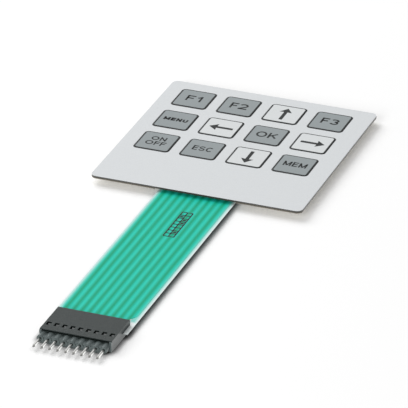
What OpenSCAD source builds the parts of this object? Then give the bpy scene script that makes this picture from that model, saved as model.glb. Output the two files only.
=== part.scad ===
// Membrane keypad: embossed keys on a laminated panel, snap domes inside,
// and a film tail that bends down behind the panel and ends in a row of pins.
// Millimetres. The origin is the centre of the rear adhesive face.
// +Z points out of the keys, and the tail leaves the panel towards -Y.

/* [Panel] */
// Width of the panel, left to right
panel_w = 71; // [66:0.5:90]
// Depth of the panel, from the tail's edge to the far edge
panel_d = 71.6; // [68:0.1:100]
// Radius of the panel's corners
panel_r = 2; // [1:0.25:5]

/* [Layers] */
// Thickness of the printed overlay film
overlay_t = 0.25; // [0.15:0.01:0.4]
// Thickness of the adhesive under the overlay
overlay_glue_t = 0.1; // [0.05:0.01:0.2]
// Thickness of the spacer that the domes sit in
spacer_t = 0.3; // [0.2:0.01:0.5]
// Thickness of the circuit film and its tail
film_t = 0.13; // [0.1:0.01:0.2]
// Thickness of the adhesive on the rear face
rear_glue_t = 0.12; // [0.05:0.01:0.25]

/* [Keys] */
// Keys in a row
key_cols = 4; // [2:1:4]
// Rows of keys
key_rows = 3; // [2:1:3]
// Side of a key, at the foot of its raised edge
key_size = 12.3; // [10:0.1:13]
// Corner radius of a key
key_r = 1.4; // [0.8:0.1:2]
// Distance between key centres along X
key_pitch_x = 15.7; // [14.5:0.05:17]
// Distance between key centres along Y
key_pitch_y = 16.05; // [14.5:0.05:18]
// Centre of the block of keys, right of the panel's centre
keys_x = -0.65; // [-3:0.05:3]
// Distance from the panel's far edge to the first row of keys
key_far_margin = 4.8; // [3:0.05:8]
// Height that a key is raised above the panel
key_rise = 0.16; // [0.1:0.01:0.5]
// Width of the sloping edge around a key
key_flank = 0.5; // [0.2:0.05:0.7]

/* [Domes] */
// Diameter of a snap dome
dome_d = 8.4; // [6:0.1:9]
// Thickness of a snap dome
dome_t = 0.1; // [0.06:0.01:0.2]
// Room between a dome and the wall of its hole
dome_room = 0.3; // [0.1:0.05:0.5]
// Room between a dome's crown and the overlay
dome_gap = 0.02; // [0.01:0.01:0.1]
// Width of the air channels between the dome holes
vent_w = 1; // [0.5:0.1:2]

/* [Conductors] */
// Thickness of the printed silver
silver_t = 0.04; // [0.02:0.01:0.06]
// Width of the silver ring that a dome stands on
ring_w = 1; // [0.6:0.1:1.5]
// Diameter of the contact spot under a dome
spot_d = 2.5; // [1.5:0.1:4]
// Width of a track on the tail
track_w = 1.5; // [1.3:0.05:1.8]

/* [Tail] */
// Width of the tail film
tail_w = 25.7; // [24.9:0.1:28]
// Centre line of the tail, right of the panel's centre
tail_x = 0.35; // [-3:0.05:3]
// Length of tail between the panel's edge and the connector
tail_l = 81.3; // [30:0.1:150]
// Distance that the tail drops behind the panel
tail_drop = 1; // [0.8:0.1:4]
// Length of the bend in which the tail drops
bend_l = 9; // [6:0.5:12]
// Length of straight tail behind the panel's edge, before the bend
bend_in = 5.5; // [5:0.25:8]
// Room between the tail and the sides of the notch that it leaves through
notch_room = 0.8; // [0.3:0.1:2]
// Length of tail film inside the connector
tail_in = 5.5; // [5.2:0.1:7]
// Length of the slanted corner beside the connector
tail_slant = 3; // [1:0.25:5]
// Thickness of the insulating coat over the tracks
coat_t = 0.08; // [0.04:0.01:0.12]
// Coat to the left of the first track
coat_left = 0.74; // [0.3:0.02:1]
// Coat to the right of the last track
coat_right = 1.14; // [0.3:0.02:1.5]
// Length of coat behind the panel's edge
coat_behind = 4.5; // [3.5:0.1:4.9]
// Bare film between the coat and the connector
coat_end = 0.2; // [0.1:0.1:2]

/* [Connector] */
// Number of contacts
ways = 9; // [5:1:9]
// Distance between contacts
pin_pitch = 2.54; // [2.5:0.01:2.6]
// Centre line of the connector, right of the panel's centre
connector_x = 0.25; // [-2:0.05:2]
// Length of the housing's top, along the tail
housing_l = 14; // [13.5:0.1:18]
// Housing above the film
housing_above = 1.9; // [1.5:0.05:2.2]
// Housing below the film
housing_below = 1.45; // [0.8:0.05:1.8]
// Wall outside the outermost contacts' pitch
housing_end = 0.12; // [0.05:0.01:0.5]
// Edge chamfer of the housing
housing_chamfer = 0.2; // [0.1:0.05:0.35]
// Solid wall between the contact cavities and the front
front_wall = 2; // [1.5:0.1:2.4]
// Thickness of the lip along the housing's top front edge
lip_t = 0.3; // [0.2:0.05:0.45]
// Height of the groove under the lip
groove_h = 0.4; // [0.2:0.05:0.6]
// Depth of the groove under the lip
groove_d = 0.6; // [0.3:0.1:1]
// Reach of the nozzles in front of the lip
nozzle_l = 2.5; // [1.5:0.1:3.5]
// Radius of a nozzle where it leaves the housing
nozzle_root_r = 1.25; // [1:0.05:1.25]
// Radius of a nozzle at its tip
nozzle_tip_r = 1.1; // [0.9:0.05:1.2]
// Height of the web between the nozzles, above the pins' centre line
web_h = 0.75; // [0.4:0.05:0.85]
// Width of the ears at the ends of the nozzle row
ear_w = 0.7; // [0.3:0.05:0.9]
// Reach of the ears in front of the lip
ear_l = 0.5; // [0.2:0.1:1]
// Width of the inspection windows
window_w = 1.4; // [0.9:0.05:1.6]
// Length of the inspection windows
window_l = 1.8; // [1.4:0.1:2.6]
// Distance from the top front edge to the window's centre
window_back = 3.6; // [3.4:0.1:4.2]
// Room around each contact in its cavity
cavity_room = 0.08; // [0.03:0.01:0.15]
// Room around the film in its slot
slot_room = 0.1; // [0.05:0.01:0.2]

/* [Contacts] */
// Side of the square pins
pin_s = 0.64; // [0.5:0.01:0.7]
// Centre line of a pin and its track, right of their contact's centre line
pin_x = -0.3; // [-0.45:0.05:0.3]
// Reach of the pins in front of the housing's lip
pin_reach = 7.7; // [6:0.1:12]
// Length of the tapered pin point
pin_point = 0.8; // [0.4:0.1:1.2]
// Width of the flat at the end of a pin
pin_flat = 0.3; // [0.2:0.05:0.45]
// Thickness of the contact's base strip
strip_t = 0.3; // [0.2:0.01:0.35]
// Width of the contact's base strip
strip_w = 1.6; // [1.4:0.05:1.75]
// Thickness of the contact's side walls
wall_t = 0.2; // [0.15:0.01:0.3]
// Height of the contact's side walls above its strip
wall_h = 1.2; // [0.7:0.05:1.3]
// Distance of the crimp tines from the contact's centre line
tine_x = 0.45; // [0.4:0.01:0.5]
// Thickness of a tine
tine_t = 0.2; // [0.15:0.01:0.25]
// Length of a tine along the tail
tine_l = 0.9; // [0.6:0.05:1.1]
// Distance between the two pairs of tines
tine_pitch = 2.4; // [2:0.1:2.8]
// Room around each tine in the film
tine_room = 0.04; // [0.02:0.01:0.06]
// Thickness of the folded end of a tine
clinch_t = 0.2; // [0.15:0.01:0.3]
// Length of the folded end of a tine
clinch_l = 0.22; // [0.15:0.01:0.3]
// Width of the latch that rises into the window
latch_w = 0.8; // [0.3:0.05:0.9]
// Room between the latch's tip and the housing's top
latch_room = 0.4; // [0.1:0.01:0.5]

/* [Hidden] */
$fn = 64;
// Overlap that makes a cut pass clear of a face
cut = 0.5;
// Straight steps in the bend of the tail
bend_steps = 24;

key_count = key_cols * key_rows;

// Heights of the layers, from the rear face up
z_film = rear_glue_t;
z_spacer = z_film + film_t;
z_glue = z_spacer + spacer_t;
z_overlay = z_glue + overlay_glue_t;
z_face = z_overlay + overlay_t;
z_silver = z_spacer + silver_t;

// Heights of the tail, below the panel's own layers
z_tail = z_film - tail_drop;
z_tail_top = z_tail + film_t;
z_track = z_tail_top + silver_t;

// Places along the tail, from the panel's edge to the pin tips
y_edge = -panel_d / 2;
y_bend = y_edge + bend_in;
y_notch = y_bend + bend_l;
y_back = y_edge - tail_l;
y_film_end = y_back - tail_in;
y_front = y_back - housing_l;
y_nozzle = y_front - nozzle_l;
y_tip = y_front - pin_reach;
y_cavity_end = y_front + front_wall;
y_window = y_front + window_back;

// Heights in the connector
z_strip = z_tail - strip_t;
z_pin = z_strip + pin_s / 2;
z_top = z_tail_top + housing_above;
z_bottom = z_tail - housing_below;
z_cavity = z_strip - cavity_room;
z_cavity_top = z_tail + wall_h + cavity_room;

housing_w = ways * pin_pitch + 2 * housing_end;
housing_left = connector_x - housing_w / 2;
cavity_w = strip_w + 2 * cavity_room;
tail_left = tail_x - tail_w / 2;
tail_right = tail_x + tail_w / 2;

// Dome: crown height above its silver ring, and the radius of its sphere
dome_h = z_overlay + key_rise - dome_gap - z_silver;
dome_sphere_r = (pow(dome_d / 2, 2) + pow(dome_h, 2)) / (2 * dome_h);
dome_hole_d = dome_d + 2 * dome_room;

keys_d = (key_rows - 1) * key_pitch_y + key_size;
keys_y = panel_d / 2 - key_far_margin - keys_d / 2;

function key_x(k) = keys_x + (k % key_cols - (key_cols - 1) / 2) * key_pitch_x;
function key_y(k) = keys_y + ((key_rows - 1) / 2 - floor(k / key_cols)) * key_pitch_y;
function way_x(i) = connector_x + (i - (ways + 1) / 2) * pin_pitch;
function tine_y(pair) = (y_back + y_film_end) / 2 + pair * tine_pitch / 2;
// Point of the bend at share t of its length, as [y, z]
function bend_point(t) = [y_notch - bend_l * t, z_film - tail_drop * (1 - cos(180 * t)) / 2];

module at_each_key() {
  for (k = [0:key_count - 1]) translate([key_x(k), key_y(k), 0]) children();
}

module at_each_way() {
  for (i = [1:ways]) translate([way_x(i), 0, 0]) children();
}

module at_each_pin() {
  at_each_way() translate([pin_x, 0, 0]) children();
}

// Block between two corners
module block(low, high) {
  translate(low) cube(high - low);
}

// Outline drawn in Y and Z, as wide as w along X and centred on x
module side_profile(x, w, points) {
  translate([x - w / 2, 0, 0]) rotate([90, 0, 90]) linear_extrude(w) polygon(points);
}

module rounded_outline(w, d, r) {
  square([w - 2 * r, d], center = true);
  square([w, d - 2 * r], center = true);
  for (sx = [-1, 1], sy = [-1, 1]) translate([sx * (w / 2 - r), sy * (d / 2 - r)]) circle(r);
}

// One full layer of the panel
module panel_layer(z, t) {
  translate([0, 0, z]) linear_extrude(t) rounded_outline(panel_w, panel_d, panel_r);
}

// Raised key with sloping edges: a round cone at each corner and two crossing wedges
module key_pillow() {
  core = key_size / 2 - key_r;
  slope = [
    [-key_size / 2, 0],
    [key_size / 2, 0],
    [key_size / 2 - key_flank, key_rise],
    [key_flank - key_size / 2, key_rise]
  ];
  for (sx = [-1, 1], sy = [-1, 1]) {
    translate([sx * core, sy * core, 0]) cylinder(h = key_rise, r1 = key_r, r2 = key_r - key_flank);
  }
  side_profile(0, 2 * core, slope);
  rotate([0, 0, 90]) side_profile(0, 2 * core, slope);
}

module graphic_overlay() {
  color("gainsboro") difference() {
    union() {
      panel_layer(z_overlay, overlay_t);
      at_each_key() translate([0, 0, z_face]) key_pillow();
    }
    at_each_key() translate([0, 0, z_overlay]) key_pillow();
  }
}

module overlay_adhesive() {
  color("wheat") difference() {
    panel_layer(z_glue, overlay_glue_t);
    at_each_key() translate([0, 0, z_glue - cut]) {
      linear_extrude(overlay_glue_t + 2 * cut) rounded_outline(key_size, key_size, key_r);
    }
  }
}

module dome_spacer() {
  row_l = (key_cols - 1) * key_pitch_x;
  color("dimgray") difference() {
    panel_layer(z_spacer, spacer_t);
    at_each_key() translate([0, 0, z_spacer - cut]) cylinder(h = spacer_t + 2 * cut, d = dome_hole_d);
    for (row = [0:key_rows - 1]) {
      y = key_y(row * key_cols);
      block(
        [keys_x - row_l / 2, y - vent_w / 2, z_spacer - cut],
        [keys_x + row_l / 2, y + vent_w / 2, z_glue + cut]
      );
    }
  }
}

// Snap dome k, a thin cap of a sphere
module dome(k) {
  crown = [0, dome_h - dome_sphere_r];
  color("lightsteelblue") translate([key_x(k - 1), key_y(k - 1), z_silver]) rotate_extrude() intersection() {
    difference() {
      translate(crown) circle(dome_sphere_r, $fn = 360);
      translate(crown) circle(dome_sphere_r - dome_t, $fn = 360);
    }
    square([dome_d / 2, dome_h]);
  }
}

// Holes that the crimp tines of every contact pass through
module tine_holes() {
  at_each_way() for (side = [-1, 1], pair = [-1, 1]) {
    translate([side * tine_x, tine_y(pair), z_tail]) {
      cube([tine_t + 2 * tine_room, tine_l + 2 * tine_room, 2 * cut + film_t], center = true);
    }
  }
}

// Layer of the panel with the notch that the tail leaves through
module notched_layer(z, t) {
  notch_w = tail_w + 2 * notch_room;
  difference() {
    panel_layer(z, t);
    block([tail_x - notch_w / 2, y_edge - cut, z - cut], [tail_x + notch_w / 2, y_notch, z + t + cut]);
  }
}

// Bend from the panel down to the level of the tail
module tail_bend() {
  lower = [for (s = [0:bend_steps]) bend_point(s / bend_steps)];
  upper = [for (s = [bend_steps:-1:0]) bend_point(s / bend_steps) + [0, film_t]];
  root = [[y_notch + cut, z_film + film_t], [y_notch + cut, z_film]];
  side_profile(tail_x, tail_w, concat(lower, upper, root));
}

// Circuit film: one sheet with its tail, with a slanted corner beside the connector
module circuit_film() {
  tail = [
    [tail_left, y_bend],
    [tail_right, y_bend],
    [tail_right, y_film_end],
    [housing_left, y_film_end],
    [housing_left, y_back],
    [tail_left, y_back + tail_slant]
  ];
  color("aliceblue") difference() {
    union() {
      notched_layer(z_film, film_t);
      tail_bend();
      translate([0, 0, z_tail]) linear_extrude(film_t) polygon(tail);
    }
    tine_holes();
  }
}

// Strip along the flat part of the tail
module track(w, z_low, z_high, y_end) {
  block([-w / 2, y_end, z_low], [w / 2, y_edge + coat_behind, z_high]);
}

// Silver print: a ring and a spot under each dome, and the tracks on the tail
module printed_conductors() {
  color("silver") {
    at_each_key() translate([0, 0, z_spacer]) linear_extrude(silver_t) {
      difference() {
        circle(d = dome_d);
        circle(d = dome_d - 2 * ring_w);
      }
      circle(d = spot_d);
    }
    difference() {
      at_each_pin() track(track_w, z_tail_top, z_track, y_film_end);
      tine_holes();
    }
  }
}

// Green insulating coat, which stands up in a ridge over each track
module tail_insulation() {
  y_end = y_back + coat_end;
  ridge_w = track_w + 2 * coat_t;
  first_track_x = way_x(1) + pin_x;
  left = first_track_x - track_w / 2 - coat_left;
  right = way_x(ways) + pin_x + track_w / 2 + coat_right;
  coat = [
    [left, y_edge + coat_behind],
    [right, y_edge + coat_behind],
    [right, y_end],
    [first_track_x - ridge_w / 2 - coat_t, y_end],
    [left, y_end + tail_slant]
  ];
  color("mediumseagreen") difference() {
    union() {
      translate([0, 0, z_tail_top]) linear_extrude(coat_t) polygon(coat);
      at_each_pin() track(ridge_w, z_tail_top, z_track + coat_t, y_end);
    }
    at_each_pin() track(track_w, z_tail_top, z_track, y_end);
  }
}

module rear_adhesive() {
  color("beige") notched_layer(0, rear_glue_t);
}

// Outside of the connector housing, seen from its end: a groove runs along under its top lip
module housing_body() {
  z_lip = z_top - lip_t;
  z_groove = z_lip - groove_h;
  side_profile(connector_x, housing_w, [
    [y_back, z_bottom + housing_chamfer],
    [y_back, z_top - housing_chamfer],
    [y_back - housing_chamfer, z_top],
    [y_front, z_top],
    [y_front, z_lip],
    [y_front + groove_d, z_lip],
    [y_front + groove_d, z_groove],
    [y_front, z_groove],
    [y_front, z_bottom],
    [y_back - housing_chamfer, z_bottom]
  ]);
}

// Round nozzle that guides one pin out of the front, flat along the housing's underside
module nozzle() {
  intersection() {
    translate([0, y_front + cut, z_pin]) rotate([90, 0, 0]) {
      cylinder(h = cut, r = nozzle_root_r);
      translate([0, 0, cut]) cylinder(h = nozzle_l, r1 = nozzle_root_r, r2 = nozzle_tip_r);
    }
    block([-pin_pitch, y_nozzle - cut, z_bottom], [pin_pitch, y_front + 2 * cut, z_top]);
  }
}

// Web that fills the valleys between the nozzles
module nozzle_web() {
  half = (ways - 1) * pin_pitch / 2;
  block(
    [connector_x + pin_x - half, y_nozzle + housing_chamfer, z_bottom],
    [connector_x + pin_x + half, y_front + cut, z_pin + web_h]
  );
}

// Ear at one end of the nozzle row, as tall as the housing below its top edge
module ear(side) {
  side_profile(connector_x + side * (housing_w - ear_w) / 2, ear_w, [
    [y_front + groove_d + cut, z_top - housing_chamfer],
    [y_front - ear_l + housing_chamfer, z_top - housing_chamfer],
    [y_front - ear_l, z_top - 2 * housing_chamfer],
    [y_front - ear_l, z_bottom],
    [y_front + groove_d + cut, z_bottom]
  ]);
}

// Space for one contact: its cavity and its window
module contact_space() {
  block([-cavity_w / 2, y_cavity_end, z_cavity], [cavity_w / 2, y_back + cut, z_cavity_top]);
  block(
    [-window_w / 2, y_window - window_l / 2, z_pin],
    [window_w / 2, y_window + window_l / 2, z_top + cut]
  );
}

// Passage of one pin, from its cavity out through its nozzle
module pin_passage() {
  half = pin_s / 2 + cavity_room;
  block([-half, y_nozzle - cut, z_pin - half], [half, y_cavity_end + cut, z_pin + half]);
}

module connector_housing() {
  slot_w = tail_w + housing_w;
  color("darkslategray") difference() {
    union() {
      housing_body();
      at_each_pin() nozzle();
      nozzle_web();
      for (side = [-1, 1]) ear(side);
    }
    at_each_way() contact_space();
    at_each_pin() pin_passage();
    block(
      [connector_x - slot_w / 2, y_film_end - slot_room, z_tail - slot_room],
      [connector_x + slot_w / 2, y_back + cut, z_track + slot_room]
    );
  }
}

// Crimp tine: passes up through the film and folds over its track
module tine(side, pair) {
  x = side * tine_x;
  fold_x = x - side * (tine_t / 2 + clinch_l / 2);
  z_fold = z_track + clinch_t;
  translate([x, tine_y(pair), (z_strip + z_fold) / 2]) cube([tine_t, tine_l, z_fold - z_strip], center = true);
  translate([fold_x, tine_y(pair), z_track + clinch_t / 2]) cube([clinch_l, tine_l, clinch_t], center = true);
}

// Square pin with a tapered point
module pin() {
  y_root = y_cavity_end + front_wall;
  z_low = z_pin - pin_s / 2;
  taper = (pin_s - pin_flat) / 2;
  intersection() {
    side_profile(0, pin_s, [
      [y_root, z_low],
      [y_root, z_low + pin_s],
      [y_tip + pin_point, z_low + pin_s],
      [y_tip, z_low + pin_s - taper],
      [y_tip, z_low + taper],
      [y_tip + pin_point, z_low]
    ]);
    translate([0, 0, z_low]) linear_extrude(pin_s) polygon([
      [-pin_s / 2, y_root],
      [pin_s / 2, y_root],
      [pin_s / 2, y_tip + pin_point],
      [pin_flat / 2, y_tip],
      [-pin_flat / 2, y_tip],
      [-pin_s / 2, y_tip + pin_point]
    ]);
  }
}

// Latch that springs up from the strip and catches behind the window
module latch() {
  y_root = y_window - window_l / 2 + cavity_room;
  y_catch = y_window + window_l / 2 - cavity_room;
  z_tip = z_top - latch_room;
  side_profile(0, latch_w, [
    [y_root, z_strip],
    [y_root, z_tail],
    [y_catch - wall_t, z_tip],
    [y_catch, z_tip],
    [y_catch, z_tip - wall_t],
    [y_root + 2 * wall_t, z_strip]
  ]);
}

// Contact i: base strip, crimp tines, folded channel, latch and off-centre pin
module contact(i) {
  y_channel = y_film_end - slot_room;
  y_channel_end = y_cavity_end + cavity_room;
  color("silver") translate([way_x(i), 0, 0]) {
    block([-strip_w / 2, y_channel_end, z_strip], [strip_w / 2, y_back - coat_end, z_tail]);
    for (side = [-1, 1]) {
      x = side * (strip_w - wall_t) / 2;
      block([x - wall_t / 2, y_channel_end, z_strip], [x + wall_t / 2, y_channel, z_tail + wall_h]);
      for (pair = [-1, 1]) tine(side, pair);
    }
    latch();
    translate([pin_x, 0, 0]) pin();
  }
}

graphic_overlay();
overlay_adhesive();
dome_spacer();
for (k = [1:key_count]) {
  dome(k);
}
circuit_film();
printed_conductors();
tail_insulation();
rear_adhesive();
connector_housing();
for (i = [1:ways]) {
  contact(i);
}
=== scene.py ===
"""Looks of a membrane keypad with a film tail and a pin connector, in the frame of its solids."""
import math

import bmesh
import bpy
from mathutils import Matrix, Vector


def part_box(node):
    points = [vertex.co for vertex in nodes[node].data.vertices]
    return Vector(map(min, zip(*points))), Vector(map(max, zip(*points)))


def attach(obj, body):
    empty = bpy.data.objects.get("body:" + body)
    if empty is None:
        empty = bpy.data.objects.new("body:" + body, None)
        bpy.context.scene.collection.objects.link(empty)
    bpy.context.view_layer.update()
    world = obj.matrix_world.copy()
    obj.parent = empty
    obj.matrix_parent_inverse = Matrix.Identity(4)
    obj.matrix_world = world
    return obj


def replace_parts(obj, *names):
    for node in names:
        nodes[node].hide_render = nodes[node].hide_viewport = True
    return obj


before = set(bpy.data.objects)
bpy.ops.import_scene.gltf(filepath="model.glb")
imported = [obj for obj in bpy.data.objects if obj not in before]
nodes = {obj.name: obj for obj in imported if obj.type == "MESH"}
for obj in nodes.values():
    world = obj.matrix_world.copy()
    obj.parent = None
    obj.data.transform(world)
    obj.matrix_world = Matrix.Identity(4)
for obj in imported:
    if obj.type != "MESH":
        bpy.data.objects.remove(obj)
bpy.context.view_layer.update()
scene = bpy.context.scene
MM = 0.001

# Camera: angles in degrees, the point on the key face that it looks at, its distance, its lens in
# millimetres, and where its near clip starts, in metres
CAMERA_AZIMUTH = 21.867
CAMERA_ELEVATION = 28.06
CAMERA_ROLL = -0.695
CAMERA_AIM = Vector((5.43, -41.38, 0.9)) * MM
CAMERA_DISTANCE = 1351.7 * MM
CAMERA_LENS = 383.61
CAMERA_CLIP = 0.05

# Overlay: its film, its softened cut edge and its embossed keys
OVERLAY_THICKNESS = 0.25 * MM
PANEL_RADIUS = 2 * MM
PANEL_EDGE = 0.05 * MM
KEY_SIZE = 12.3 * MM
KEY_RADIUS = 1.4 * MM
KEY_FLANK = 0.42 * MM
FLANK_STEPS = 6
KEY_OUTLINE = 0.7 * MM
FLAT_RING = 0.15 * MM
CORNER_STEPS = 10
KEY_COUNT = 12

# Legends, in millimetres: words, height of the capitals, width of the line and width of the stroke
LEGENDS = {
    1: [("F1", 3.8, 5.3, 0.7)],
    2: [("F2", 3.8, 6.0, 0.7)],
    4: [("F3", 3.8, 6.0, 0.7)],
    5: [("MENU", 2.15, 8.3, 0.64)],
    7: [("OK", 3.75, 7.2, 0.66)],
    9: [("ON", 2.5, 5.1, 0.5), ("OFF", 2.6, 6.9, 0.5)],
    10: [("ESC", 3.0, 6.9, 0.52)],
    12: [("MEM", 3.0, 7.8, 0.56)],
}
LEGEND_LINE_GAP = 0.7
LEGEND_RISE = 0.25
LETTER_GAP = 0.13
ARC_STEPS = 20
INK_THICKNESS = 0.012 * MM
# Arrow keys, with the angle that each arrow points in
ARROWS = {3: 90, 6: 180, 8: 0, 11: 270}
ARROW_LENGTH = 8.1 * MM
ARROW_SHAFT = 1.2 * MM
ARROW_HEAD_WIDTH = 4.2 * MM
ARROW_HEAD_LENGTH = 2.6 * MM
ARROW_BARB = 0.15 * MM

# Tail: its ways, the offset of its ridges and of the pins from the middles of the contacts, the coat with its
# set-back from the connector and its slanted near corners, the bare film beside it, and the marking grid
WAYS = 9
PIN_OFFSET = -0.3 * MM
COAT_STEPS_PER_WAY = 24
COAT_ROWS = 9
COAT_THICKNESS = 0.08 * MM
COAT_SET_BACK = 2.2 * MM
COAT_LEFT_SLANT = 3 * MM
COAT_RIGHT_SLANT = 3.1 * MM
COAT_CORNER = 0.91 * MM
BARE_FILM = 1.2 * MM
STAMP_CENTRE = Vector((1.82, -54.04)) * MM
STAMP_CELL = (1.72 * MM, 2.04 * MM)
STAMP_COLUMNS = 2
STAMP_ROWS = 8
STAMP_LINE = 0.4 * MM
STAMP_TICK = (1.0 * MM, 0.9 * MM)
STAMP_SHARE = 0.4
STAMP_SEED = 4

# Connector: radius of the moulded edges, reach of the nozzles before the housing's lip, and the seam along a
# folded pin, right of its middle
HOUSING_EDGE = 0.06 * MM
NOZZLE_REACH = 2.5 * MM
PIN_SEAM = 0.17 * MM
PIN_SEAM_SHIFT = 0.2 * MM

# Finishes: sizes of the grains, most of them drawn coarser than real ones so that they show
FILM_GRAIN = 0.35 * MM
INK_GRAIN = 0.25 * MM
STAMP_GRAIN = 0.4 * MM
ADHESIVE_GRAIN = 0.8 * MM
SPACER_GRAIN = 0.3 * MM
STEEL_LINES = 0.06 * MM
SILVER_GRAIN = 0.12 * MM
NYLON_GRAIN = 0.22 * MM
TIN_LINES = 0.08 * MM
# Lacquer: width and stretch of its streaks, how uneven they make it, and how thin it is at its sides
LACQUER_STREAK = 0.6 * MM
LACQUER_STRETCH = 25
LACQUER_UNEVEN = 0.08
LACQUER_FADE = 0.7 * MM
LACQUER_THIN_LEFT = 0.5
LACQUER_THIN_RIGHT = 0.3
# The part of a noise's range that is used
NOISE_LOW = 0.3
NOISE_HIGH = 0.7
# A face is taken to look along an axis from this share of its normal on
FLAT_FACING = 0.7
PIN_END_FACING = 0.15
# Angles from which edges are sharp or bevelled, and up to which faces count as one flat face
SHARP_EDGE = math.radians(40)
HOUSING_SHARP_EDGE = math.radians(30)
BEVELLED_EDGE = math.radians(35)
ONE_FLAT_FACE = math.radians(1)
# Distances within which points are merged
PLATE_WELD = 0.002 * MM
HOUSING_WELD = 0.001 * MM

# Stage: the floor's colour, its own glow for the camera and in reflections, how far up it feels what lies
# over it, how strongly its painted contact shade darkens it under the film and at the pins, and the fill from
# all round
FLOOR_SIZE = 6
FLOOR_ALBEDO = 0.9
FLOOR_GLOW = 0.16
FLOOR_MIRROR = 1.5
FLOOR_GAP = 2.36 * MM
FLOOR_GAP_POWER = 2.8
FLOOR_PIN_POWER = 0.9
FILL_STRENGTH = 0.37
# Lamps: place, side of the square lamp and power; both look at the middle of the object
LAMP_AIM = Vector((0, -0.05, 0))
LAMPS = {
    "key_light": (Vector((-1.0, 0.54, 1.2)), 1.25, 18.4),
    "front_light": (Vector((-0.1, -1.35, 0.61)), 0.6, 9.0),
}


def hex_colour(code):
    """Linear colour of an sRGB hex code."""
    parts = [int(code[i:i + 2], 16) / 255 for i in (1, 3, 5)]
    return [p / 12.92 if p <= 0.04045 else ((p + 0.055) / 1.055) ** 2.4 for p in parts] + [1]


def add(tree, kind, values=None, **settings):
    """Adds a node with its settings; a value goes to the input of that name, and a socket is linked to it."""
    node = tree.nodes.new(kind)
    for name, value in settings.items():
        setattr(node, name, value)
    for name, value in (values or {}).items():
        if isinstance(value, bpy.types.NodeSocket):
            tree.links.new(value, node.inputs[name])
        else:
            node.inputs[name].default_value = value
    return node


def new_material(name, **inputs):
    """Material with one Principled shader: returns it, its tree, its shader and its object coordinates."""
    made = bpy.data.materials.new(name)
    made.use_nodes = True
    tree = made.node_tree
    shader = tree.nodes["Principled BSDF"]
    for label, value in inputs.items():
        shader.inputs[label.replace("_", " ")].default_value = value
    return made, tree, shader, add(tree, "ShaderNodeTexCoord").outputs["Object"]


def grain(tree, shader, place, dark, light, size, bump, stretch=(1, 1, 1)):
    """Varies colour and height with a grain of that size in metres, drawn out along the stretched axes."""
    spot = add(tree, "ShaderNodeMapping", {
        "Vector": place, "Scale": [1 / s for s in stretch],
    }).outputs["Vector"]
    noise = add(tree, "ShaderNodeTexNoise", {"Vector": spot, "Scale": 1 / size, "Detail": 4}).outputs["Fac"]
    spread = add(tree, "ShaderNodeMapRange", {
        "Value": noise, "From Min": NOISE_LOW, "From Max": NOISE_HIGH,
    }).outputs["Result"]
    mix = add(tree, "ShaderNodeMix", {0: spread, 6: hex_colour(dark), 7: hex_colour(light)}, data_type="RGBA")
    tree.links.new(mix.outputs[2], shader.inputs["Base Color"])
    height = add(tree, "ShaderNodeBump", {"Height": noise, "Strength": bump, "Distance": size})
    tree.links.new(height.outputs["Normal"], shader.inputs["Normal"])
    return mix.outputs[2]


def printed_film(name, dark, light):
    """Fine-textured polyester, printed from behind: matt, with a soft even sheen over the ink's colour."""
    made, tree, shader, place = new_material(name, Roughness=0.5, IOR=1.6, Specular_IOR_Level=0.15)
    grain(tree, shader, place, dark, light, FILM_GRAIN, 0.06)
    return made


def dark_ink():
    """Near-black screen ink: the key outlines and the legends."""
    made, tree, shader, place = new_material("dark_screen_ink", Roughness=0.5, Specular_IOR_Level=0.2)
    grain(tree, shader, place, "#121616", "#181C1C", INK_GRAIN, 0.05)
    return made


def stamp_ink():
    """Black marking ink, thin enough to look a little uneven on the lacquer."""
    made, tree, shader, place = new_material("black_marking_ink", Roughness=0.45, Specular_IOR_Level=0.2)
    grain(tree, shader, place, "#0A1210", "#14231E", STAMP_GRAIN, 0.05)
    return made


def acrylic_adhesive(name, dark, light):
    """Acrylic adhesive sheet: pale and tacky on its faces, with a satin sheen, and darker on its cut edges
    from dust and painted shade.
    """
    made, tree, shader, place = new_material(name, Roughness=0.42)
    edge = grain(tree, shader, place, dark, light, ADHESIVE_GRAIN, 0.1)
    # The cut edges' darker colour is partly dust and partly painted shade.
    facing = add(tree, "ShaderNodeNewGeometry").outputs["True Normal"]
    upward = add(tree, "ShaderNodeSeparateXYZ", {"Vector": facing}).outputs["Z"]
    level = add(tree, "ShaderNodeMath", {0: upward}, operation="ABSOLUTE").outputs["Value"]
    flat = add(tree, "ShaderNodeMath", {
        0: level, 1: FLAT_FACING,
    }, operation="GREATER_THAN").outputs["Value"]
    both = add(tree, "ShaderNodeMix", {0: flat, 6: edge, 7: hex_colour("#D9D4C6")}, data_type="RGBA")
    tree.links.new(both.outputs[2], shader.inputs["Base Color"])
    return made


def spacer_film():
    """Dark spacer film, seen only at its cut edge."""
    made, tree, shader, place = new_material("dark_spacer_film", Roughness=0.6)
    grain(tree, shader, place, "#2A2721", "#34302A", SPACER_GRAIN, 0.1)
    return made


def spring_steel():
    """Stamped stainless spring steel: bright, with fine rolling lines."""
    made, tree, shader, place = new_material("stamped_spring_steel", Roughness=0.28, Metallic=1.0)
    grain(tree, shader, place, "#B4B4B2", "#C6C6C4", STEEL_LINES, 0.05, stretch=(1, 30, 1))
    return made


def silver_print():
    """Screen-printed silver ink: grey, slightly grainy metal flakes in resin."""
    made, tree, shader, place = new_material("printed_silver_ink", Roughness=0.45, Metallic=0.7)
    grain(tree, shader, place, "#A9AAA8", "#BEBFBC", SILVER_GRAIN, 0.15)
    return made


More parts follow.
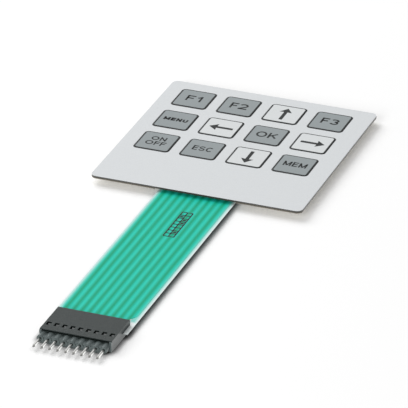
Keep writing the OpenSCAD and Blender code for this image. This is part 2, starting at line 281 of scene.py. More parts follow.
def clear_film(coat_left, coat_right, coat_near):
    """Milky polyester film: tinted beside the lacquer, dark in the panel, and with painted shade on its right
    cut edge.
    """
    made, tree, shader, place = new_material(
        "clear_polyester_film", Roughness=0.25, IOR=1.6, Specular_IOR_Level=0.3, Alpha=0.97)
    spot = add(tree, "ShaderNodeSeparateXYZ", {"Vector": place}).outputs
    left = add(tree, "ShaderNodeMath", {0: coat_left, 1: spot["X"]}, operation="SUBTRACT").outputs["Value"]
    right = add(tree, "ShaderNodeMath", {0: spot["X"], 1: coat_right}, operation="SUBTRACT").outputs["Value"]
    beside = add(tree, "ShaderNodeMath", {0: left, 1: right}, operation="MAXIMUM").outputs["Value"]
    before = add(tree, "ShaderNodeMath", {0: coat_near, 1: spot["Y"]}, operation="SUBTRACT").outputs["Value"]
    away = add(tree, "ShaderNodeMath", {0: beside, 1: before}, operation="MAXIMUM").outputs["Value"]
    bare = add(tree, "ShaderNodeMapRange", {
        "Value": away, "From Min": 0, "From Max": BARE_FILM,
    }).outputs["Result"]
    tint = add(tree, "ShaderNodeMix", {
        0: bare, 6: hex_colour("#86DDD2"), 7: hex_colour("#F3FAFA"),
    }, data_type="RGBA").outputs[2]
    covered = add(tree, "ShaderNodeMath", {0: spot["Z"], 1: 0}, operation="GREATER_THAN").outputs["Value"]
    whole = add(tree, "ShaderNodeMix", {
        0: covered, 6: tint, 7: hex_colour("#5E584C"),
    }, data_type="RGBA").outputs[2]
    # Painted shade: the cut edge that faces right is coloured dark for the shadow beside the tail.
    facing = add(tree, "ShaderNodeNewGeometry").outputs["True Normal"]
    sideways = add(tree, "ShaderNodeSeparateXYZ", {"Vector": facing}).outputs["X"]
    cut = add(tree, "ShaderNodeMath", {
        0: sideways, 1: FLAT_FACING,
    }, operation="GREATER_THAN").outputs["Value"]
    right_edge_shaded = add(tree, "ShaderNodeMix", {0: cut, 6: whole, 7: hex_colour("#3E3C3A")}, data_type="RGBA")
    tree.links.new(right_edge_shaded.outputs[2], shader.inputs["Base Color"])
    return made


def green_lacquer(first, pitch, left, right):
    """Green lacquer over silver: darker on the tracks, brighter between them and thin at its sides."""
    made, tree, shader, place = new_material("green_lacquer", Roughness=0.4, IOR=1.5, Specular_IOR_Level=0.1)
    across = add(tree, "ShaderNodeSeparateXYZ", {"Vector": place}).outputs["X"]
    low, high = first - pitch / 2, first + (WAYS - 0.5) * pitch
    held = add(tree, "ShaderNodeClamp", {"Value": across, "Min": low, "Max": high}).outputs["Result"]
    turn = add(tree, "ShaderNodeMapRange", {
        "Value": held, "From Min": first, "From Max": first + pitch, "To Min": 0, "To Max": 2 * math.pi,
    }, clamp=False).outputs["Result"]
    wave = add(tree, "ShaderNodeMath", {0: turn}, operation="COSINE").outputs["Value"]
    band = add(tree, "ShaderNodeMapRange", {"Value": wave, "From Min": 1, "From Max": -1}).outputs["Result"]
    streak = add(tree, "ShaderNodeMapping", {
        "Vector": place, "Scale": (1, 1 / LACQUER_STRETCH, 1),
    }).outputs["Vector"]
    noise = add(tree, "ShaderNodeTexNoise", {
        "Vector": streak, "Scale": 1 / LACQUER_STREAK, "Detail": 3,
    }).outputs["Fac"]
    uneven = add(tree, "ShaderNodeMapRange", {
        "Value": noise, "From Min": NOISE_LOW, "From Max": NOISE_HIGH,
        "To Min": -LACQUER_UNEVEN, "To Max": LACQUER_UNEVEN,
    }).outputs["Result"]
    shade = add(tree, "ShaderNodeMath", {
        0: band, 1: uneven,
    }, operation="ADD", use_clamp=True).outputs["Value"]
    striped = add(tree, "ShaderNodeMix", {
        0: shade, 6: hex_colour("#0DA47D"), 7: hex_colour("#24CDB7"),
    }, data_type="RGBA").outputs[2]
    from_left = add(tree, "ShaderNodeMapRange", {
        "Value": across, "From Min": left, "From Max": left + LACQUER_FADE,
        "To Min": LACQUER_THIN_LEFT, "To Max": 0,
    }).outputs["Result"]
    from_right = add(tree, "ShaderNodeMapRange", {
        "Value": across, "From Min": right - LACQUER_FADE, "From Max": right,
        "To Min": 0, "To Max": LACQUER_THIN_RIGHT,
    }).outputs["Result"]
    thin = add(tree, "ShaderNodeMath", {0: from_left, 1: from_right}, operation="ADD").outputs["Value"]
    faded = add(tree, "ShaderNodeMix", {0: thin, 6: striped, 7: hex_colour("#A6E2D9")}, data_type="RGBA")
    tree.links.new(faded.outputs[2], shader.inputs["Base Color"])
    bump = add(tree, "ShaderNodeBump", {"Height": noise, "Strength": 0.08, "Distance": 0.3 * MM})
    tree.links.new(bump.outputs["Normal"], shader.inputs["Normal"])
    return made


def housing_plastic(lip):
    """Black glass-filled nylon with a satin, spark-eroded grain, and painted light on the nozzles before its
    lip.
    """
    made, tree, shader, place = new_material(
        "black_moulded_nylon", Roughness=0.35, IOR=1.53,
        Specular_IOR_Level=0.26, Specular_Tint=(0.86, 1, 1, 1))
    plain = grain(tree, shader, place, "#121817", "#1A201F", NYLON_GRAIN, 0.2)
    along = add(tree, "ShaderNodeSeparateXYZ", {"Vector": place}).outputs["Y"]
    # Painted light: the nozzles before the lip get a paler colour in place of light on their shaded front
    # faces.
    before = add(tree, "ShaderNodeMath", {0: along, 1: lip}, operation="LESS_THAN").outputs["Value"]
    both = add(tree, "ShaderNodeMix", {0: before, 6: plain, 7: hex_colour("#565E5E")}, data_type="RGBA")
    tree.links.new(both.outputs[2], shader.inputs["Base Color"])
    return made


def tin_plate(first, pitch, front):
    """Bright tin plate on brass, dark in the pins' seams; painted shade on the forward ends and in the
    housing.
    """
    made, tree, shader, place = new_material("bright_tin_plate", Roughness=0.3, Metallic=1.0)
    metal = grain(tree, shader, place, "#ACACAA", "#C0C0BE", TIN_LINES, 0.04, stretch=(1, 25, 1))
    spot = add(tree, "ShaderNodeSeparateXYZ", {"Vector": place}).outputs
    turns = add(tree, "ShaderNodeMapRange", {
        "Value": spot["X"], "From Min": first, "From Max": first + pitch, "To Min": 0, "To Max": 1,
    }, clamp=False).outputs["Result"]
    nearest = add(tree, "ShaderNodeMath", {0: turns}, operation="ROUND").outputs["Value"]
    away = add(tree, "ShaderNodeMath", {0: turns, 1: nearest}, operation="SUBTRACT").outputs["Value"]
    apart = add(tree, "ShaderNodeMath", {0: away}, operation="ABSOLUTE").outputs["Value"]
    seam = add(tree, "ShaderNodeMath", {
        0: apart, 1: PIN_SEAM / 2 / pitch,
    }, operation="LESS_THAN").outputs["Value"]
    # Painted shade: the parts behind the housing's front get a dull dark colour for the shade inside it.
    housed_shade_mask = add(tree, "ShaderNodeMath", {0: spot["Y"], 1: front}, operation="GREATER_THAN").outputs["Value"]
    seamed = add(tree, "ShaderNodeMix", {
        0: seam, 6: metal, 7: hex_colour("#484846"),
    }, data_type="RGBA").outputs[2]
    # Painted shade: faces that turn forward, the pins' ends, get a dull dark colour in place of shade.
    facing = add(tree, "ShaderNodeNewGeometry").outputs["True Normal"]
    forward = add(tree, "ShaderNodeSeparateXYZ", {"Vector": facing}).outputs["Y"]
    cut = add(tree, "ShaderNodeMath", {
        0: forward, 1: -PIN_END_FACING,
    }, operation="LESS_THAN").outputs["Value"]
    end_shaded = add(tree, "ShaderNodeMix", {
        0: cut, 6: seamed, 7: hex_colour("#4E4E4C"),
    }, data_type="RGBA").outputs[2]
    housing_shaded = add(tree, "ShaderNodeMix", {0: housed_shade_mask, 6: end_shaded, 7: hex_colour("#5E6060")}, data_type="RGBA")
    tree.links.new(housing_shaded.outputs[2], shader.inputs["Base Color"])
    return made


def rounded_outline(centre, width, depth, radius):
    """Points of a rounded rectangle, anticlockwise from its right side."""
    points = []
    for corner, (side_x, side_y) in enumerate(((1, 1), (-1, 1), (-1, -1), (1, -1))):
        for step in range(CORNER_STEPS + 1):
            angle = math.radians(90) * (corner + step / CORNER_STEPS)
            x = centre.x + side_x * (width / 2 - radius) + radius * math.cos(angle)
            y = centre.y + side_y * (depth / 2 - radius) + radius * math.sin(angle)
            points.append((x, y))
    return points


def ring(bm, points, z):
    return [bm.verts.new((x, y, z)) for x, y in points]


def bridge(bm, outer, inner, slot):
    """Band of faces between two rings with as many points."""
    for i in range(len(outer)):
        j = (i + 1) % len(outer)
        face = bm.faces.new((outer[i], outer[j], inner[j], inner[i]))
        face.material_index = slot
        face.smooth = True


def ring_edges(bm, points):
    return [bm.edges.get((points[i - 1], points[i])) or bm.edges.new((points[i - 1], points[i]))
            for i in range(len(points))]


def prism(bm, points, low, high):
    """Closed plate with that outline."""
    bottom, top = ring(bm, points, low), ring(bm, points, high)
    bridge(bm, bottom, top, 0)
    bm.faces.new(top)
    bm.faces.new(reversed(bottom))


def placed(name, mesh):
    """Object of a finished mesh, which rides with the keypad."""
    piece = bpy.data.objects.new(name, mesh)
    scene.collection.objects.link(piece)
    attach(piece, "root")
    return piece


def finished(name, bm, materials):
    """Piece made of a mesh under construction and its materials."""
    mesh = bpy.data.meshes.new(name)
    bm.to_mesh(mesh)
    bm.free()
    for made in materials:
        mesh.materials.append(made)
    return placed(name, mesh)


def key_centre(k):
    low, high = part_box(f"dome_{k}")
    return (low + high) / 2


FILM_SLOT, GREY_SLOT, WHITE_SLOT, INK_SLOT = range(4)


def embossed_key(bm, k, foot, rise, printed):
    """One raised key from its foot to its flat top; returns the ring that the panel meets."""
    centre = key_centre(k)
    field = WHITE_SLOT if k in ARROWS else GREY_SLOT
    rows = [(-FLAT_RING, 0, FILM_SLOT), (0, 0, FILM_SLOT)]
    for step in range(1, FLANK_STEPS + 1):
        share = step / FLANK_STEPS
        rows.append((KEY_FLANK * share, rise * share * share * (3 - 2 * share), INK_SLOT))
    rows.append((KEY_OUTLINE, rise, INK_SLOT))
    rows.append((KEY_OUTLINE + FLAT_RING, rise, field))
    rings = []
    for inset, height, _ in rows:
        size = KEY_SIZE - 2 * inset
        rings.append(ring(bm, rounded_outline(centre, size, size, KEY_RADIUS - inset), foot + height))
    for i in range(1, len(rings)):
        bridge(bm, rings[i - 1], rings[i], rows[i][2] if printed else FILM_SLOT)
    top = bm.faces.new(rings[-1])
    top.material_index = field if printed else FILM_SLOT
    return rings[0]


def overlay_side(bm, low, high, z, rise, printed):
    """One side of the overlay: the flat panel with its keys; returns the ring at the panel's edge."""
    start = len(bm.faces)
    centre = (low + high) / 2
    width, depth = high.x - low.x, high.y - low.y
    rings = []
    for inset in (PANEL_EDGE, PANEL_EDGE + FLAT_RING):
        outline = rounded_outline(centre, width - 2 * inset, depth - 2 * inset, PANEL_RADIUS - inset)
        rings.append(ring(bm, outline, z))
    bridge(bm, rings[0], rings[1], FILM_SLOT)
    edges = ring_edges(bm, rings[1])
    for k in range(1, KEY_COUNT + 1):
        edges += ring_edges(bm, embossed_key(bm, k, z, rise, printed))
    bmesh.ops.triangle_fill(bm, use_beauty=True, edges=edges, normal=(0, 0, 1))
    bm.faces.ensure_lookup_table()
    faces = bm.faces[start:]
    for face in faces:
        face.smooth = True
    if not printed:
        bmesh.ops.reverse_faces(bm, faces=faces)
    return rings[0]


def printed_overlay(film, grey, white, ink):
    """Overlay film in one continuous sheet, with embossed keys and a softened cut edge, dark with ink."""
    low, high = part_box("graphic_overlay")
    face = low.z + OVERLAY_THICKNESS
    rise = high.z - face
    bm = bmesh.new()
    upper = overlay_side(bm, low, high, face, rise, True)
    lower = overlay_side(bm, low, high, low.z, rise, False)
    outline = rounded_outline((low + high) / 2, high.x - low.x, high.y - low.y, PANEL_RADIUS)
    shoulder, foot = ring(bm, outline, face - PANEL_EDGE), ring(bm, outline, low.z + PANEL_EDGE)
    bridge(bm, shoulder, upper, FILM_SLOT)
    bridge(bm, foot, shoulder, INK_SLOT)
    bridge(bm, lower, foot, INK_SLOT)
    piece = finished("printed_overlay", bm, (film, grey, white, ink))
    piece.data.set_sharp_from_angle(angle=SHARP_EDGE)
    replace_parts(piece, "graphic_overlay")


def arrow_outline(centre, angle):
    """Outline of a plain arrow that points along the angle."""
    tip, neck, end = ARROW_LENGTH / 2, ARROW_LENGTH / 2 - ARROW_HEAD_LENGTH, -ARROW_LENGTH / 2
    half, wide, barb = ARROW_SHAFT / 2, ARROW_HEAD_WIDTH / 2, neck - ARROW_BARB
    points = [(end, -half), (neck, -half), (barb, -wide), (tip, 0), (barb, wide), (neck, half), (end, half)]
    turn = Matrix.Rotation(math.radians(angle), 2)
    return [centre.xy + turn @ Vector(p) for p in points]


def key_arrows(ink):
    """Printed arrows on the tops of the white keys."""
    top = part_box("graphic_overlay")[1].z
    bm = bmesh.new()
    for k, angle in ARROWS.items():
        prism(bm, arrow_outline(key_centre(k), angle), top - INK_THICKNESS / 2, top + INK_THICKNESS / 2)
    finished("key_arrows", bm, [ink])


def arc(x, y, half_width, half_height, start, end):
    """Points of an elliptic arc between two angles in degrees."""
    turns = [math.radians(start + (end - start) * i / ARC_STEPS) for i in range(ARC_STEPS + 1)]
    return [(x + half_width * math.cos(t), y + half_height * math.sin(t)) for t in turns]


# Plain capitals and digits, on a square of side 1: relative width, straight bars, and other strokes
LEFT_BAR = [(0, 0), (0, 1)]
RIGHT_BAR = [(1, 0), (1, 1)]
TOP_BAR = [(0, 1), (1, 1)]
FOOT_BAR = [(0, 0), (1, 0)]
GLYPHS = {
    "F": (0.62, [LEFT_BAR, TOP_BAR, [(0, 0.5), (0.85, 0.5)]], []),
    "E": (0.66, [LEFT_BAR, TOP_BAR, FOOT_BAR, [(0, 0.52), (0.92, 0.52)]], []),
    "M": (0.94, [LEFT_BAR, RIGHT_BAR], [[(0, 1), (0.5, 0)], [(0.5, 0), (1, 1)]]),
    "N": (0.78, [LEFT_BAR, RIGHT_BAR], [[(0, 1), (1, 0)]]),
    "K": (0.82, [LEFT_BAR], [[(0, 0.3), (1, 1)], [(0.36, 0.55), (1, 0)]]),
    "U": (0.78, [], [[(0, 1.08)] + arc(0.5, 0.36, 0.5, 0.36, 180, 360) + [(1, 1.08)]]),
    "O": (0.96, [], [arc(0.5, 0.5, 0.5, 0.5, 0, 365)]),
    "C": (0.88, [], [arc(0.5, 0.5, 0.5, 0.5, 42, 318)]),
    "S": (0.79, [], [arc(0.5, 0.75, 0.47, 0.25, 20, 270) + arc(0.5, 0.25, 0.5, 0.25, 90, -160)]),
    "1": (0.42, [RIGHT_BAR], [[(1, 1), (0, 0.72)]]),
    "2": (0.74, [FOOT_BAR], [arc(0.5, 0.7, 0.5, 0.3, 165, -35) + [(0, 0)]]),
    "3": (0.74, [], [arc(0.5, 0.76, 0.45, 0.24, 160, -90) + arc(0.5, 0.26, 0.5, 0.26, 90, -160)]),
}


def lengthened(bar, extra):
    """Straight bar with both its ends moved out, so that it fills the corners it shares."""
    start, end = Vector(bar[0]), Vector(bar[1])
    along = (end - start).normalized() * extra
    return [start - along, end + along]


def write_line(paths, x, y, z, words, cap, width, stroke):
    """Adds the centre lines of a line of capitals, centred on x and with its foot at y."""
    natural = sum(GLYPHS[letter][0] for letter in words) + LETTER_GAP * (len(words) - 1)
    unit = width / natural
    left = x - width / 2
    for letter in words:
        share, bars, strokes = GLYPHS[letter]
        across, up = share * unit - stroke, cap - stroke
        corner = Vector((left + stroke / 2, y + stroke / 2))
        sized = [lengthened([(u * across, v * up) for u, v in bar], stroke / 2) for bar in bars]
        sized += [[(u * across, v * up) for u, v in points] for points in strokes]
        for points in sized:
            spline = paths.splines.new("POLY")
            spline.points.add(len(points) - 1)
            for place, point in zip(spline.points, points):
                spot = (corner + Vector(point)) * MM
                place.co = (spot.x, spot.y, z, 1)
                place.radius = stroke * MM
        left += (share + LETTER_GAP) * unit


def legend_paths():
    """Centre lines of all the words on the keys; a path's radius is the width of its stroke."""
    paths = bpy.data.curves.new("legend_paths", "CURVE")
    paths.dimensions = "3D"
    paths.twist_mode = "Z_UP"
    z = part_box("graphic_overlay")[1].z - INK_THICKNESS / 2
    for k, lines in LEGENDS.items():
        centre = key_centre(k) / MM
        height = sum(cap for _, cap, _, _ in lines) + LEGEND_LINE_GAP * (len(lines) - 1)
        y = centre.y + LEGEND_RISE + height / 2
        for words, cap, width, stroke in lines:
            write_line(paths, centre.x, y - cap, z, words, cap, width, stroke)
            y -= cap + LEGEND_LINE_GAP
    return paths


def geometry_tree(name, sizes):
    """Empty geometry tree with an input for its start and for each size; returns it and its inputs."""
    tree = bpy.data.node_groups.new(name, "GeometryNodeTree")
    tree.interface.new_socket("Geometry", in_out="OUTPUT", socket_type="NodeSocketGeometry")
    tree.interface.new_socket("Start", in_out="INPUT", socket_type="NodeSocketGeometry")
    for size in sizes:
        tree.interface.new_socket(size, in_out="INPUT", socket_type="NodeSocketFloat")
    return tree, add(tree, "NodeGroupInput").outputs


def close_tree(tree, geometry, made):
    """Ends a tree: real geometry with its material."""
    real = add(tree, "GeometryNodeRealizeInstances", {"Geometry": geometry}).outputs["Geometry"]
    painted = add(tree, "GeometryNodeSetMaterial", {"Geometry": real, "Material": made}).outputs["Geometry"]
    add(tree, "NodeGroupOutput", {"Geometry": painted})


def joined(tree, *parts):
    whole = add(tree, "GeometryNodeJoinGeometry")
    for part in parts:
        tree.links.new(part, whole.inputs["Geometry"])
    return whole.outputs["Geometry"]


def closed_plate(tree, sheet, raised):
    """Plate whose top and sides were raised from a flat sheet, closed by that sheet turned over."""
    under = add(tree, "GeometryNodeFlipFaces", {"Mesh": sheet}).outputs["Mesh"]
    return add(tree, "GeometryNodeMergeByDistance", {
        "Geometry": joined(tree, under, raised), "Distance": PLATE_WELD,
    }).outputs["Geometry"]


def grown(name, tree, sizes, start=None):
    """Piece that a geometry tree grows from its start and the sizes of its named inputs."""
    host = bpy.data.objects.new(name, start or bpy.data.meshes.new(name))
    scene.collection.objects.link(host)
    modifier = host.modifiers.new("grow", "NODES")
    modifier.node_group = tree
    for item in tree.interface.items_tree:
        if item.name in sizes:
            modifier[item.identifier] = sizes[item.name]
    bpy.context.view_layer.update()
    mesh = bpy.data.meshes.new_from_object(host.evaluated_get(bpy.context.evaluated_depsgraph_get()))
    bpy.data.objects.remove(host)
    mesh.name = name
    mesh.shade_smooth()
    mesh.set_sharp_from_angle(angle=SHARP_EDGE)
    return placed(name, mesh)


def key_legends(ink):
    """Printed words: a thin flat ribbon of ink along every stroke of the letters."""
    sizes = {"Ink": INK_THICKNESS}
    tree, size = geometry_tree("inked_strokes", sizes)
    nib = add(tree, "GeometryNodeCurvePrimitiveLine", {
        "Start": (-0.5, 0, 0), "End": (0.5, 0, 0),
    }).outputs["Curve"]
    ribbon = add(tree, "GeometryNodeCurveToMesh", {
        "Curve": size["Start"], "Profile Curve": nib,
        "Scale": add(tree, "GeometryNodeInputRadius").outputs["Radius"],
    }).outputs["Mesh"]
    up = add(tree, "ShaderNodeCombineXYZ", {"Z": size["Ink"]}).outputs["Vector"]
    raised = add(tree, "GeometryNodeExtrudeMesh", {"Mesh": ribbon, "Offset": up, "Individual": False})
    close_tree(tree, closed_plate(tree, ribbon, raised.outputs["Mesh"]), ink)
    grown("key_legends", tree, sizes, legend_paths())


def way_centre(i):
    low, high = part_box(f"contact_{i}")
    return (low.x + high.x) / 2


def ridged_coat(first, pitch):
    """Lacquer coat, set back from the connector, with a ridge over every track and slanted near corners."""
    low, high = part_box("tail_insulation")
    sizes = {
        "Left": low.x, "Right": high.x, "Near": low.y + COAT_SET_BACK, "Far": high.y, "Base": low.z,
        "Thickness": COAT_THICKNESS, "Ridge": high.z - low.z - COAT_THICKNESS,
        "First": first, "Last": first + (WAYS - 1) * pitch, "Pitch": pitch,
        "Corner": first - COAT_CORNER, "Left slant": COAT_LEFT_SLANT, "Right slant": COAT_RIGHT_SLANT,
    }
    tree, size = geometry_tree("ridged_coat", sizes)
    grid = add(tree, "GeometryNodeMeshGrid", {
        "Vertices X": COAT_STEPS_PER_WAY * WAYS + 1, "Vertices Y": COAT_ROWS,
    }).outputs["Mesh"]
    spot = add(tree, "ShaderNodeSeparateXYZ", {
        "Vector": add(tree, "GeometryNodeInputPosition").outputs["Position"],
    }).outputs
    x = add(tree, "ShaderNodeMapRange", {
        "Value": spot["X"], "From Min": -0.5, "From Max": 0.5,
        "To Min": size["Left"], "To Max": size["Right"],
    }, clamp=False).outputs["Result"]
    left_cut = add(tree, "ShaderNodeMapRange", {
        "Value": x, "From Min": size["Left"], "From Max": size["Corner"],
        "To Min": size["Left slant"], "To Max": 0,
    }).outputs["Result"]
    right_cut = add(tree, "ShaderNodeMapRange", {
        "Value": x, "From Min": size["Last"], "From Max": size["Right"],
        "To Min": 0, "To Max": size["Right slant"],
    }).outputs["Result"]
    cut = add(tree, "ShaderNodeMath", {0: left_cut, 1: right_cut}, operation="ADD").outputs["Value"]
    near = add(tree, "ShaderNodeMath", {0: size["Near"], 1: cut}, operation="ADD").outputs["Value"]
    y = add(tree, "ShaderNodeMapRange", {
        "Value": spot["Y"], "From Min": -0.5, "From Max": 0.5, "To Min": near, "To Max": size["Far"],
    }, clamp=False).outputs["Result"]
    place = add(tree, "ShaderNodeCombineXYZ", {"X": x, "Y": y, "Z": size["Base"]}).outputs["Vector"]
    base = add(tree, "GeometryNodeSetPosition", {"Geometry": grid, "Position": place}).outputs["Geometry"]
    up = add(tree, "ShaderNodeCombineXYZ", {"Z": size["Thickness"]}).outputs["Vector"]
    raised = add(tree, "GeometryNodeExtrudeMesh", {"Mesh": base, "Offset": up, "Individual": False}).outputs
    across = add(tree, "ShaderNodeSeparateXYZ", {
        "Vector": add(tree, "GeometryNodeInputPosition").outputs["Position"],
    }).outputs["X"]
    half = add(tree, "ShaderNodeMath", {0: size["Pitch"], 1: 0.5}, operation="MULTIPLY").outputs["Value"]
    start = add(tree, "ShaderNodeMath", {0: size["First"], 1: half}, operation="SUBTRACT").outputs["Value"]
    stop = add(tree, "ShaderNodeMath", {0: size["Last"], 1: half}, operation="ADD").outputs["Value"]
    held = add(tree, "ShaderNodeClamp", {"Value": across, "Min": start, "Max": stop}).outputs["Result"]
    away = add(tree, "ShaderNodeMath", {0: held, 1: start}, operation="SUBTRACT").outputs["Value"]
    turns = add(tree, "ShaderNodeMath", {0: away, 1: size["Pitch"]}, operation="DIVIDE").outputs["Value"]
    angle = add(tree, "ShaderNodeMath", {0: turns, 1: 2 * math.pi}, operation="MULTIPLY").outputs["Value"]
    wave = add(tree, "ShaderNodeMath", {0: angle}, operation="COSINE").outputs["Value"]
    crest = add(tree, "ShaderNodeMapRange", {
        "Value": wave, "From Min": 1, "From Max": -1, "To Min": 0, "To Max": size["Ridge"],
    }).outputs["Result"]
    lift = add(tree, "ShaderNodeCombineXYZ", {"Z": crest}).outputs["Vector"]
    ridged = add(tree, "GeometryNodeSetPosition", {
        "Geometry": raised["Mesh"], "Selection": raised["Top"], "Offset": lift,
    }).outputs["Geometry"]
    close_tree(tree, closed_plate(tree, base, ridged), green_lacquer(first, pitch, low.x, high.x))
    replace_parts(grown("tail_coat", tree, sizes), "tail_insulation")


def stamped_grid(ink):
    """Blank marking grid, stamped on the lacquer: lines in two columns of cells, some with a plain tick."""
    width, height = STAMP_CELL[0] * STAMP_COLUMNS, STAMP_CELL[1] * STAMP_ROWS
    sizes = {
        "X": STAMP_CENTRE.x, "Y": STAMP_CENTRE.y, "Z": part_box("tail_insulation")[1].z,
        "Width": width, "Height": height, "Cell width": STAMP_CELL[0], "Cell height": STAMP_CELL[1],
        "Line": STAMP_LINE, "Ink": 2 * INK_THICKNESS,
        "Tick width": STAMP_TICK[0], "Tick height": STAMP_TICK[1],
    }
    tree, size = geometry_tree("stamped_grid", sizes)
    left = add(tree, "ShaderNodeMath", {0: size["Width"], 1: -0.5}, operation="MULTIPLY").outputs["Value"]
    near = add(tree, "ShaderNodeMath", {0: size["Height"], 1: -0.5}, operation="MULTIPLY").outputs["Value"]
    tall = add(tree, "ShaderNodeCombineXYZ", {"X": size["Line"], "Y": size["Height"], "Z": size["Ink"]})
    wide = add(tree, "ShaderNodeCombineXYZ", {"X": size["Width"], "Y": size["Line"], "Z": size["Ink"]})
    small = add(tree, "ShaderNodeCombineXYZ", {
        "X": size["Tick width"], "Y": size["Tick height"], "Z": size["Ink"],
    })
    marks = []
    for bar, count, start, step in (
        (tall, STAMP_COLUMNS + 1, {"X": left}, {"X": size["Cell width"]}),
        (wide, STAMP_ROWS + 1, {"Y": near}, {"Y": size["Cell height"]}),
    ):
        points = add(tree, "GeometryNodeMeshLine", {
            "Count": count,
            "Start Location": add(tree, "ShaderNodeCombineXYZ", start).outputs["Vector"],
            "Offset": add(tree, "ShaderNodeCombineXYZ", step).outputs["Vector"],
        }).outputs["Mesh"]
        cube = add(tree, "GeometryNodeMeshCube", {"Size": bar.outputs["Vector"]}).outputs["Mesh"]
        lines = add(tree, "GeometryNodeInstanceOnPoints", {"Points": points, "Instance": cube})
        marks.append(lines.outputs["Instances"])
    inner_width = add(tree, "ShaderNodeMath", {
        0: size["Width"], 1: size["Cell width"],
    }, operation="SUBTRACT")
    inner_height = add(tree, "ShaderNodeMath", {
        0: size["Height"], 1: size["Cell height"],
    }, operation="SUBTRACT")
    cells = add(tree, "GeometryNodeMeshGrid", {
        "Size X": inner_width.outputs["Value"], "Size Y": inner_height.outputs["Value"],
        "Vertices X": STAMP_COLUMNS, "Vertices Y": STAMP_ROWS,
    }).outputs["Mesh"]
    chosen = add(tree, "FunctionNodeRandomValue", {
        "Probability": STAMP_SHARE, "Seed": STAMP_SEED,
    }, data_type="BOOLEAN")
    ticks = add(tree, "GeometryNodeInstanceOnPoints", {
        "Points": cells, "Selection": chosen.outputs[3],
        "Instance": add(tree, "GeometryNodeMeshCube", {"Size": small.outputs["Vector"]}).outputs["Mesh"],
    })
    marks.append(ticks.outputs["Instances"])
    place = add(tree, "ShaderNodeCombineXYZ", {axis: size[axis] for axis in "XYZ"}).outputs["Vector"]
    moved = add(tree, "GeometryNodeTransform", {"Geometry": joined(tree, *marks), "Translation": place})
    close_tree(tree, moved.outputs["Geometry"], ink)
    grown("stamped_grid", tree, sizes)


def moulded_housing():
    """Connector housing with the small edge radii of a moulding."""
    bm = bmesh.new()
    bm.from_mesh(nodes["connector_housing"].data)
    bmesh.ops.remove_doubles(bm, verts=bm.verts, dist=HOUSING_WELD)
    bmesh.ops.dissolve_limit(bm, angle_limit=ONE_FLAT_FACE, verts=bm.verts, edges=bm.edges)
    for face in bm.faces:
        face.material_index = 0
        face.smooth = True
    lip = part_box("connector_housing")[0].y + NOZZLE_REACH
    piece = finished("moulded_housing", bm, [housing_plastic(lip)])
    piece.data.set_sharp_from_angle(angle=HOUSING_SHARP_EDGE)
    bevel = piece.modifiers.new("edge_radius", "BEVEL")
    bevel.width = HOUSING_EDGE
    bevel.segments = 2
    bevel.limit_method = "ANGLE"
    bevel.angle_limit = BEVELLED_EDGE
    bevel.harden_normals = True
    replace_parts(piece, "connector_housing")


def paint(made, *names):
    """Gives CAD nodes one material."""
    for name in names:
        mesh = nodes[name].data
        mesh.materials.clear()
        mesh.materials.append(made)


def make_camera():
    azimuth, elevation = math.radians(CAMERA_AZIMUTH), math.radians(CAMERA_ELEVATION)
    roll = math.radians(CAMERA_ROLL)
    back = Vector((
        math.sin(azimuth) * math.cos(elevation),
        -math.cos(azimuth) * math.cos(elevation),
        math.sin(elevation),
    ))
    right = Vector((math.cos(azimuth), math.sin(azimuth), 0))
    up = back.cross(right)
    turned_right = right * math.cos(roll) + up * math.sin(roll)
    turned_up = up * math.cos(roll) - right * math.sin(roll)
    camera = bpy.data.objects.new("camera", bpy.data.cameras.new("camera"))
    scene.collection.objects.link(camera)
    camera.data.lens = CAMERA_LENS
    camera.data.clip_start = CAMERA_CLIP
    turn = Matrix((turned_right, turned_up, back)).transposed().to_4x4()
    camera.matrix_world = Matrix.Translation(CAMERA_AIM + CAMERA_DISTANCE * back) @ turn
    scene.camera = camera


def reflected(tree, path):
    """One where a reflection or a transmission looks, and else zero."""
    return add(tree, "ShaderNodeMath", {
        0: path["Is Glossy Ray"], 1: path["Is Transmission Ray"],
    }, operation="MAXIMUM").outputs["Value"]


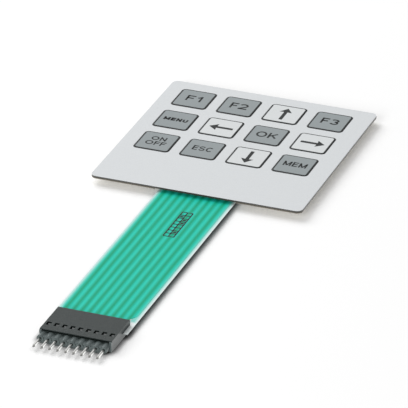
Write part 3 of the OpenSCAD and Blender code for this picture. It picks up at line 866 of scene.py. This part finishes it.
def white_floor():
    """Plain white floor that keeps the shadow, with painted contact shade where the film or the pins lie
    close over it.
    """
    nozzle_end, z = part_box("connector_housing")[0].yz
    bm = bmesh.new()
    half = FLOOR_SIZE / 2
    bm.faces.new(ring(bm, [(-half, -half), (half, -half), (half, half), (-half, half)], z))
    mesh = bpy.data.meshes.new("floor")
    bm.to_mesh(mesh)
    bm.free()
    made = bpy.data.materials.new("white_floor")
    made.use_nodes = True
    tree = made.node_tree
    tree.nodes.clear()
    path = add(tree, "ShaderNodeLightPath").outputs
    # Painted contact shade: ambient occlusion darkens the floor's colour and glow under the film and at the
    # pins.
    open_sky = add(tree, "ShaderNodeAmbientOcclusion", {"Distance": FLOOR_GAP}).outputs["AO"]
    place = add(tree, "ShaderNodeTexCoord").outputs["Object"]
    power = add(tree, "ShaderNodeMapRange", {
        "Value": add(tree, "ShaderNodeSeparateXYZ", {"Vector": place}).outputs["Y"],
        "From Min": nozzle_end, "From Max": nozzle_end + NOZZLE_REACH,
        "To Min": FLOOR_PIN_POWER, "To Max": FLOOR_GAP_POWER,
    }).outputs["Result"]
    contact_shade = add(tree, "ShaderNodeMath", {0: open_sky, 1: power}, operation="POWER").outputs["Value"]
    shade = add(tree, "ShaderNodeMath", {0: contact_shade, 1: FLOOR_ALBEDO}, operation="MULTIPLY").outputs["Value"]
    diffuse = add(tree, "ShaderNodeBsdfDiffuse", {"Color": shade}).outputs["BSDF"]
    seen = add(tree, "ShaderNodeMath", {0: path["Is Camera Ray"], 1: FLOOR_GLOW}, operation="MULTIPLY")
    direct = add(tree, "ShaderNodeMath", {
        0: seen.outputs["Value"], 1: contact_shade,
    }, operation="MULTIPLY").outputs["Value"]
    level = add(tree, "ShaderNodeMath", {
        0: reflected(tree, path), 1: FLOOR_MIRROR, 2: direct,
    }, operation="MULTIPLY_ADD").outputs["Value"]
    glow = add(tree, "ShaderNodeEmission", {"Strength": level}).outputs["Emission"]
    both = add(tree, "ShaderNodeAddShader", {0: diffuse, 1: glow}).outputs["Shader"]
    add(tree, "ShaderNodeOutputMaterial", {"Surface": both})
    mesh.materials.append(made)
    floor = bpy.data.objects.new("floor", mesh)
    scene.collection.objects.link(floor)


def light_stage():
    """Even fill from all round, a large soft light from the far left and a lower one from the front."""
    world = bpy.data.worlds.new("studio")
    world.use_nodes = True
    scene.world = world
    tree = world.node_tree
    path = add(tree, "ShaderNodeLightPath").outputs
    shown = add(tree, "ShaderNodeMath", {
        0: path["Is Camera Ray"], 1: reflected(tree, path),
    }, operation="MAXIMUM").outputs["Value"]
    strength = add(tree, "ShaderNodeMapRange", {"Value": shown, "To Min": FILL_STRENGTH, "To Max": 1})
    surround = tree.nodes["Background"]
    surround.inputs["Color"].default_value = (1, 1, 1, 1)
    tree.links.new(strength.outputs["Result"], surround.inputs["Strength"])
    for name, (place, side, power) in LAMPS.items():
        data = bpy.data.lights.new(name, "AREA")
        data.size = side
        data.energy = power
        lamp = bpy.data.objects.new(name, data)
        scene.collection.objects.link(lamp)
        turn = (LAMP_AIM - place).to_track_quat("-Z", "Y").to_matrix().to_4x4()
        lamp.matrix_world = Matrix.Translation(place) @ turn


make_camera()
ink = dark_ink()
film = printed_film("textured_polyester_film", "#D7DADC", "#DCDFE1")
grey = printed_film("grey_key_print", "#909799", "#979EA0")
white = printed_film("white_key_print", "#D8DBDC", "#DDE0E1")
printed_overlay(film, grey, white, ink)
key_legends(ink)
key_arrows(ink)
pitch = way_centre(2) - way_centre(1)
first_pin = way_centre(1) + PIN_OFFSET
ridged_coat(first_pin, pitch)
stamped_grid(stamp_ink())
moulded_housing()
coat_low, coat_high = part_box("tail_insulation")
paint(acrylic_adhesive("clear_acrylic_adhesive", "#2E2A22", "#38342B"), "overlay_adhesive")
paint(acrylic_adhesive("rear_acrylic_adhesive", "#77705F", "#837B69"), "rear_adhesive")
paint(spacer_film(), "dome_spacer")
paint(spring_steel(), *[f"dome_{k}" for k in range(1, KEY_COUNT + 1)])
paint(clear_film(coat_low.x, coat_high.x, coat_low.y + COAT_SET_BACK), "circuit_film")
paint(silver_print(), "printed_conductors")
housing_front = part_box("connector_housing")[0].y
first_seam = first_pin + PIN_SEAM_SHIFT
paint(tin_plate(first_seam, pitch, housing_front), *[f"contact_{i}" for i in range(1, WAYS + 1)])
white_floor()
light_stage()
scene.view_settings.view_transform = "Standard"
